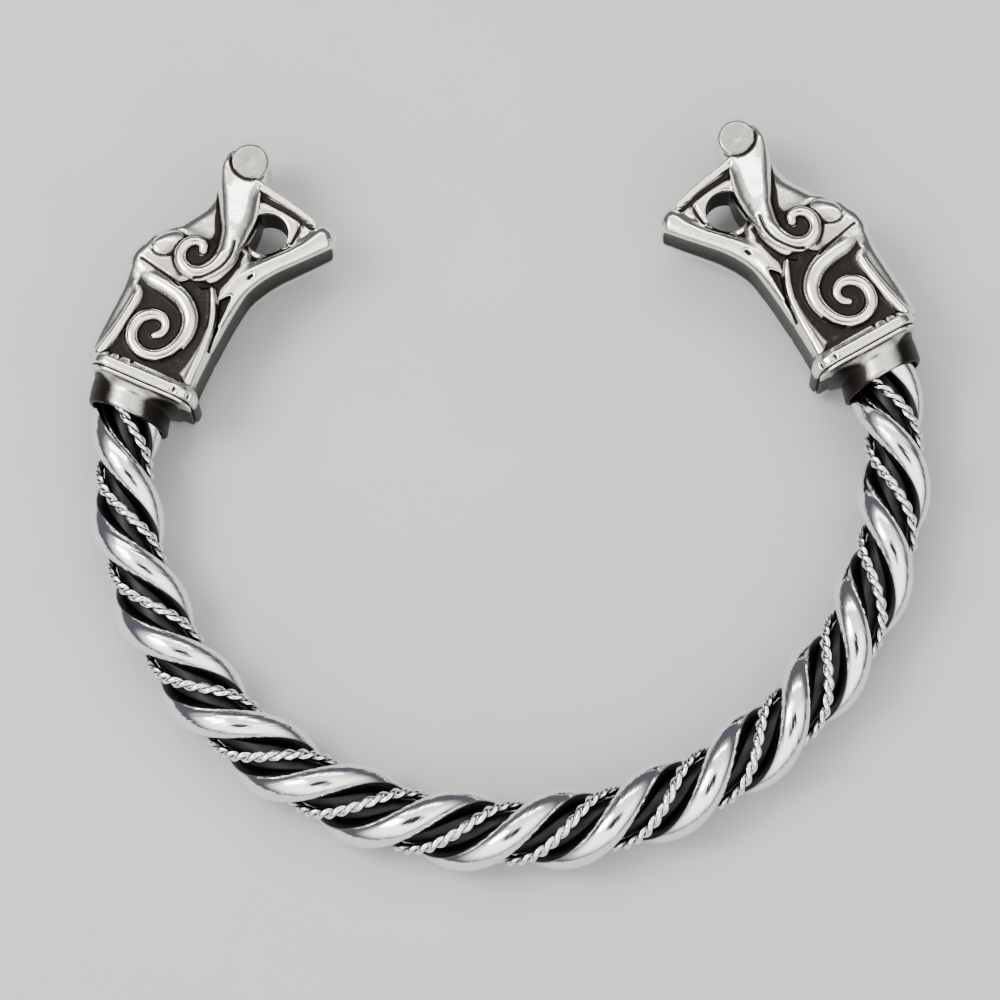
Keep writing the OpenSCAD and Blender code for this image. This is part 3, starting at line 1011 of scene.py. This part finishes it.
# %% Fine lines beside the rolls
LINES = [
    ([[0.436, 0.226], [0.425, 0.170], [0.408, 0.095], [0.385, 0.030]], 0.11, 0.22),
    ([[0.425, -0.055], [0.458, -0.100], [0.504, -0.126], [0.560, -0.143], [0.625, -0.146]], 0.20, 0.30),
    ([[0.290, -0.180], [0.250, -0.184], [0.190, -0.190]], 0.14, 0.25),
    ([[0.538, -0.210], [0.556, -0.216]], 0.14, 0.40),
    ([[0.845, -0.303], [0.800, -0.305], [0.755, -0.297]], 0.22, 0.40),
    ([[0.655, -0.098], [0.619, -0.107], [0.575, -0.108], [0.531, -0.096], [0.491, -0.072],
      [0.455, -0.040], [0.440, -0.012]], 0.11, 0.22),
    ([[0.150, -0.092], [0.105, -0.068], [0.066, -0.030]], 0.10, 0.16)]
DISC_LINE_WIDE = 0.12
DISC_LINE_DEEP = 0.12
DISC_FROM = (2.2, 2.5)
PIT_INK = (-0.15, 0.1)
LINE_INK = 1.4
disc_edge = np.exp(-((nose_away - DISC_R) / DISC_LINE_WIDE) ** 2)
ink = np.maximum(ease(-pit_plan, *PIT_INK), disc_edge)
head = head + DISC_LINE_DEEP * disc_edge[..., None] * ease(Z, *DISC_FROM)
for places, width, depth in LINES:
    away = nearest(trace(places))[0]
    head = scratch(head, away, width, depth)
    ink = np.maximum(ink, LINE_INK * np.exp(-(away / width) ** 2))
print("fine lines:", len(LINES))

# %% [markdown]
# ## Collar and cup
# The collar is a rounded plate with a bevel, a thin second lip below it and a few short
# marks on its edges. Both plates are slices of a bar with the collar's rounded outline.
# Depths are counted from the head's start, where X is 0.

# %% Collar
UPPER_MARKS = (0.14, 0.25, 0.34)
LOWER_MARKS = (-0.43, -0.30)
MARK_WIDE = 0.12
MARK_DEEP = 0.30
COLLAR_ROUND = COLLAR_H / 5
BEVEL = 0.55
BEVEL_FROM = 0.25
BEVEL_LONG = 0.70
SECOND_INSET = 0.28
PLATE_MELT = 0.06
UPPER_EDGE = (-0.20, 0.05)
LOWER_START = -0.95
LOWER_EDGE = (-0.45, -0.20)
MARK_FACE = (3.9, 4.4)


def collar_bar(inset):
    """A bar along the head, smaller all round than the collar by the inset."""
    return block(Y[..., None], COLLAR_W / 2 - inset, Z, COLLAR_H / 2 - inset, COLLAR_ROUND)


def slice_off(bar, below, half, soft):
    """The slice of a bar whose middle lies this far below the head's start."""
    slab = np.abs(X + below)[..., None] - half
    return -melt(-bar, -slab, soft)


bevel = BEVEL * np.clip((X + BEVEL_FROM) / BEVEL_LONG, 0, 1)[..., None]
collar = slice_off(collar_bar(bevel), below=0.30, half=0.75, soft=0.2)
second = slice_off(collar_bar(SECOND_INSET), below=1.30, half=0.16, soft=0.12)
collar = melt(collar, second, PLATE_MELT)
upper_edge = ease(X, *UPPER_EDGE)
lower_edge = (X > LOWER_START) * (1 - ease(X, *LOWER_EDGE))
for marks, edge in ((UPPER_MARKS, upper_edge), (LOWER_MARKS, lower_edge)):
    for mark in marks:
        nick = MARK_DEEP * np.exp(-((Y - mark * COLLAR_W) / MARK_WIDE) ** 2) * edge
        collar = collar + nick[..., None] * ease(Z, *MARK_FACE)
print("collar:", count_inside(collar), "cells inside")

# %% [markdown]
# Under the collar a bell-shaped cup takes the end of the body. The body comes in at a
# slant, so its line is first turned into the head's own frame. The cup starts as the
# collar's rounded square and ends as a circle round that line, so its field is a slow mix
# of both. Its mouth is level with the collar, and its socket follows the body.

# %% The body's line in the frame of the head
ARM_PLACES = 40
ARM_BEFORE = 2
ARM_PAST = 3
arm_t = np.linspace(math.degrees(COLLAR_AT) - ARM_BEFORE, MOUTH_AT + ARM_PAST, ARM_PLACES)
arm = middle_at(arm_t)[:, :2] - (COLLAR_X, COLLAR_Y)
turned = np.stack([arm[:, 0] * math.cos(COLLAR_DIR) + arm[:, 1] * math.sin(COLLAR_DIR),
                   arm[:, 1] * math.cos(COLLAR_DIR) - arm[:, 0] * math.sin(COLLAR_DIR)], axis=1)
down = (arm_t - math.degrees(COLLAR_AT)) / ARM_DEG
arm_away, _, _, (reach_down,) = nearest(np.concatenate([turned, down[:, None]], axis=1))
from_arm = np.hypot(arm_away[..., None], Z)
mouth_x = np.interp(COLLAR_T + CUP_L, down, turned[:, 0])
print(f"mouth of the cup {-mouth_x:.2f} mm below the head's start")

# %% Cup with its socket
SOCKET_R = BODY_R * END_SHARE + SEAT_GAP
SOCKET_END = COLLAR_T + CUP_L - SOCKET_D - 3 * SEAT_GAP
CUP_INSET = 0.55
CUP_WAIST = 0.35
WAIST_FROM = (0.9, 2.6)
CIRCLE_FROM = (COLLAR_T - 0.3, COLLAR_T + 1.2)
MOUTH_SOFT = 0.35
SOCKET_SOFT = 0.1
COLLAR_MELT = 0.10
CUP_START = -0.3
CUP_ONLY = -0.2
blend = ease(-X, *CIRCLE_FROM)[..., None]
bell = collar_bar((CUP_INSET + CUP_WAIST * ease(-X, *WAIST_FROM))[..., None])
bell = bell * (1 - blend) + (from_arm - SOCKET_R - CUP_WALL) * blend
bell = -melt(-bell, -(mouth_x - X)[..., None], MOUTH_SOFT)
bell = np.maximum(bell, (X - CUP_START)[..., None])
socket = np.maximum(from_arm - SOCKET_R, (SOCKET_END - reach_down)[..., None])
bell = carve(bell, socket, SOCKET_SOFT)
head = melt(head, collar, COLLAR_MELT)
head = np.where((X < CUP_ONLY)[..., None], np.minimum(collar, bell), head)
print("whole head:", count_inside(head), "cells inside")

# %% [markdown]
# ## Skin
# A skin is put on the field by a net: each small cube of the grid that the surface runs
# through gets one point, at the mean of the places where it crosses the cube's edges, and
# each crossed edge joins the four points round it with a face.

# %% Skin a field
def skin(field, low):
    """Points, their places in the grid, and faces of the surface where the field is 0."""
    shape = np.array(field.shape) - 1
    cells = []
    places = []
    rings = []
    for axis in range(3):
        near = np.take(field, range(field.shape[axis] - 1), axis=axis)
        far = np.take(field, range(1, field.shape[axis]), axis=axis)
        spot = np.argwhere((near < 0) != (far < 0))
        a = near[tuple(spot.T)]
        b = far[tuple(spot.T)]
        place = spot.astype(float)
        place[:, axis] += a / (a - b)
        one = np.eye(3, dtype=int)[(axis + 1) % 3]
        two = np.eye(3, dtype=int)[(axis + 2) % 3]
        ring = np.stack([spot, spot - one, spot - one - two, spot - two], axis=1)
        ring = np.where((a < 0)[:, None, None], ring, ring[:, ::-1])
        cell = np.ravel_multi_index(tuple(np.clip(ring, 0, shape - 1).reshape(-1, 3).T), tuple(shape))
        rings.append(cell.reshape(-1, 4))
        cells.append(cell)
        places.append(np.repeat(place, 4, axis=0))
    cells = np.concatenate(cells)
    places = np.concatenate(places)
    names, index = np.unique(cells, return_inverse=True)
    count = np.bincount(index)
    points = np.stack([np.bincount(index, places[:, k]) / count for k in range(3)], axis=1)
    faces = np.searchsorted(names, np.concatenate(rings))
    return low + points * CELL, points, faces


whole = np.concatenate([head[:, :, ::-1], head], axis=2)
low = np.array([grid_x[0], grid_y[0], -grid_z[-1]])
head_points, head_cells, head_faces = skin(whole, low)
print("skin of the head:", len(head_points), "points,", 2 * len(head_faces), "triangles")

# %% [markdown]
# ## Recesses of the head
# Where does the black finish stay? A place is sunk when most of a small ball round
# it is metal. Blurring the solid counts that: one half on a flat cheek, less on a crest,
# more in a corner. A narrow blur finds the creases and a wide one the sunk panels.

# %% Measure creases and sunk panels
NARROW_BALL = 0.45
WIDE_BALL = 1.3
BOX_SHARE = 1.7


def blurred(solid, reach):
    """The solid averaged over a soft ball of about this reach, in millimetres."""
    n = max(1, round(reach / CELL / BOX_SHARE))
    for axis in range(3):
        for _ in range(2):
            edge = [(0, 0)] * 3
            edge[axis] = (n + 1, n)
            total = np.cumsum(np.pad(solid, edge, mode="edge"), axis=axis)
            top = np.take(total, range(2 * n + 1, total.shape[axis]), axis=axis)
            bottom = np.take(total, range(total.shape[axis] - 2 * n - 1), axis=axis)
            solid = (top - bottom) / (2 * n + 1)
    return solid


def read_at(values, cells):
    """Values of the grid at places between its points."""
    base = np.clip(np.floor(cells).astype(int), 0, np.array(values.shape) - 2)
    part = cells - base
    total = 0
    for corner in np.ndindex(2, 2, 2):
        weight = np.prod(np.where(corner, part, 1 - part), axis=1)
        total = total + weight * values[tuple((base + corner).T)]
    return total


def in_plan(plan):
    """Values of the flat grid at the points of the skin."""
    return read_at(np.broadcast_to(plan[..., None], whole.shape), head_cells)


solid = np.clip(0.5 - whole / CELL, 0, 1).astype(np.float32)
crease = read_at(blurred(solid, NARROW_BALL), head_cells)
sunk = read_at(blurred(solid, WIDE_BALL), head_cells)
under = read_at(np.concatenate([hollow[:, :, ::-1], hollow], axis=2), head_cells)
print(f"metal round a point: {crease.min():.2f} to {crease.max():.2f} of a small ball")

# %% [markdown]
# The wheel and the bath leave more than a ball can find. The neck's panel and the channel
# are black down to their floors, and the wall of the hole is dark. Painted shade greys the
# open cheek and the nose's face, and the cup is darkened a little all over, with painted
# shade making its flanks darker than its face. Each is a soft mask from 0 to 1, and the
# darkest one counts.

# %% Masks of the black finish and of painted shade
CREASE_EDGE = (0.515, 0.61)
SUNK_EDGE = (0.52, 0.61)
FLAT_EDGE = (0.44, 0.49)
FLOOR_FROM = (3.0, 3.4)
FLOOR_TO = (3.76, 3.88)
CHEEK_PAINTED_SHADE = 0.42
NECK_BLACK = 0.84
INK_BLACK = 0.95
DISC_PAINTED_SHADE = 0.50
HOLE_BLACK = 0.9
HOLLOW_BLACK = 0.9
CUP_FACE = 0.22
CUP_FLANK_SHADE = 0.70
at_x, at_y, signed_z = head_points.T
at_z = np.abs(signed_z)
along = at_x / HEAD_L
out = at_y / HEAD_L
# Painted shade: the flat open cheek is greyed to dim what it reflects.
cheek_painted_shade = CHEEK_PAINTED_SHADE * ease(sunk, *FLAT_EDGE) * (1 - ease(along, 0.74, 0.82)) * ease(at_z, 2.4, 2.9)
neck = ease(at_x, 0.0, 0.5) * (1 - ease(along, 0.375, 0.40))
neck = neck * ease(out, -0.19, -0.165) * (1 - ease(out, 0.19, 0.21))
in_channel = ease(-in_plan(channel_plan), -0.1, 0.2)
near_floor = ease(at_z, *FLOOR_FROM) * (1 - ease(at_z, *FLOOR_TO))
panel = NECK_BLACK * np.maximum(neck, in_channel) * near_floor
inked = INK_BLACK * np.minimum(in_plan(ink), 1) * ease(at_z, 2.4, 2.7)
# Painted shade: the nose's flat face is greyed to dim what it reflects.
disc_painted_shade = DISC_PAINTED_SHADE * (np.hypot(at_x - HEAD_L, at_y) < DISC_R) * (at_z > NOSE_W / 2 - 0.2)
# The cup is darkened a little all over, and painted shade deepens its sides.
cup_dark_and_painted_shade = ease(-at_x, 1.38, 1.60) * (CUP_FACE + CUP_FLANK_SHADE * (1 - ease(at_z, 3.2, 4.1)))
from_mouth = np.hypot(at_x - MOUTH[0] * HEAD_L, at_y - MOUTH[1] * HEAD_L)
hole = HOLE_BLACK * (1 - ease(from_mouth, MOUTH_R + 0.1, MOUTH_R + 0.3)) * (1 - ease(at_z, 2.0, 2.3))
hollowed = HOLLOW_BLACK * ease(under, 0.04, 0.22)
head_finish_and_shade = np.maximum.reduce([
    ease(crease, *CREASE_EDGE), ease(sunk, *SUNK_EDGE), cheek_painted_shade, panel, inked, disc_painted_shade, cup_dark_and_painted_shade, hole,
    hollowed])
print(f"in recess: {100 * np.mean(head_finish_and_shade > 0.5):.0f} % of the points")

# %% [markdown]
# ## Both heads in place
# One head is made, and the other is its mirror image across the middle of the ring. Its
# steel is a little warmer and less glossy than the rods'. The mirrored copy turns each
# face round, and reads another place of the noise, so that the wear of the two differs.

# %% Place both heads
head_steel = polished("cast head steel", WARM_STEEL, BROWN_FINISH_AND_SHADE,
                      smooth_rough=0.17, waves=0.4, start_dark=0.08, full_dark=0.85)
c = math.cos(COLLAR_DIR)
s = math.sin(COLLAR_DIR)
placed = np.stack([COLLAR_X + head_points[:, 0] * c - head_points[:, 1] * s,
                   COLLAR_Y + head_points[:, 0] * s + head_points[:, 1] * c,
                   head_points[:, 2]], axis=1)
piece("beast_head_left", lay(placed), head_faces.tolist(), head_finish_and_shade, head_points,
      head_steel, "head_left")
mirrored = placed * (-1, 1, 1)
piece("beast_head_right", lay(mirrored), head_faces[:, ::-1].tolist(), head_finish_and_shade, -head_points,
      head_steel, "head_right")

# %% [markdown]
# ## Measure
# The model's own box is compared with the CAD box. They agree within half a millimetre,
# since both come from the same sizes, and only low relief is added here.

# %% Measure and finish
seen_low, seen_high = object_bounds()
for axis in range(3):
    cad_size = (cad_high[axis] - cad_low[axis]) * 1000
    seen_size = (seen_high[axis] - seen_low[axis]) * 1000
    print("XYZ"[axis], f"CAD {cad_size:.2f} mm, visual {seen_size:.2f} mm")
